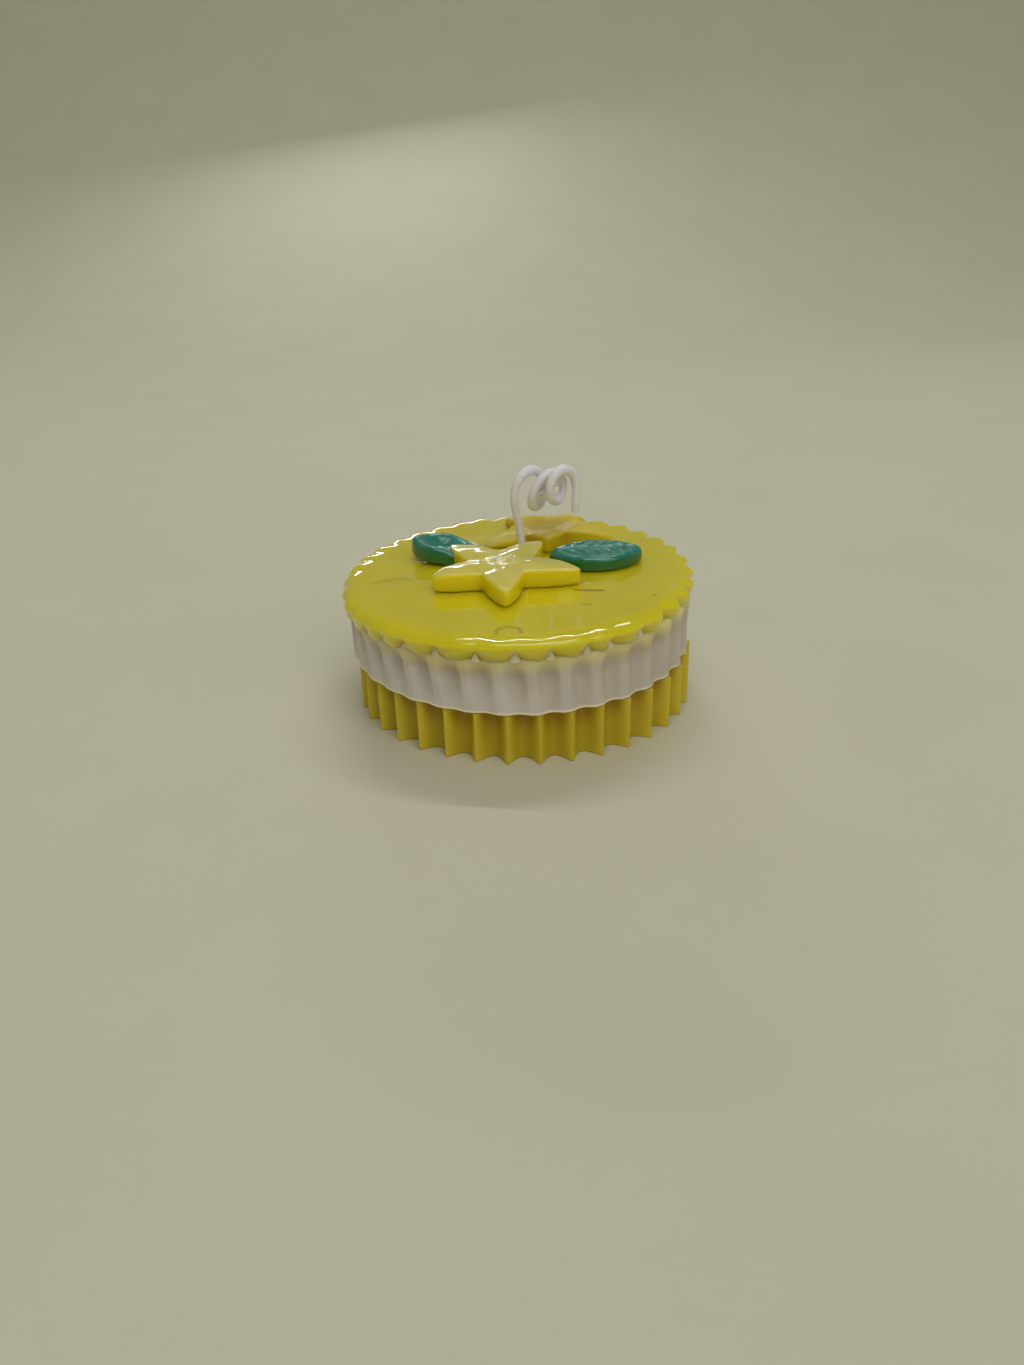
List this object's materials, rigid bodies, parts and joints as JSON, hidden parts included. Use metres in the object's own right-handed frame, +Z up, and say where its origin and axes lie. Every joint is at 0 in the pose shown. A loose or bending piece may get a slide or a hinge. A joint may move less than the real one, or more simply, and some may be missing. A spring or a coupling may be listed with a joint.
{
  "type": "decorative candle",
  "caption": "Low round fluted candle of stacked yellow and white wax discs with a glossy top, pale star flowers, green leaves and a curled wick.",
  "frame": {"origin": "middle of the fluted foot, on the surface that the candle stands on", "axes": "+Z up along the candle, +X to the viewer's right of the front flower, +Y to the back"},
  "size_m": [0.0823, 0.0833, 0.055],
  "materials": {
    "golden_wax": "opaque golden-yellow cast wax, satin",
    "white_wax": "white cast wax, satin",
    "yellow_gel": "translucent yellow gel wax, wet gloss",
    "pale_yellow_wax": "translucent pale yellow cast wax, gloss",
    "green_wax": "green cast wax with pressed veins, gloss",
    "waxed_cotton": "braided white cotton, dipped in wax",
    "tinned_steel": "thin pressed steel, tinned"
  },
  "bodies": {
    "root": {"base_tier": "golden_wax", "middle_tier": "white_wax", "top_tier": "yellow_gel", "front_star_flower": "pale_yellow_wax", "rear_star_flower": "pale_yellow_wax", "right_leaf": "green_wax", "left_leaf": "green_wax", "wick": "waxed_cotton", "wick_tab": "tinned_steel"}
  },
  "joints": []
}
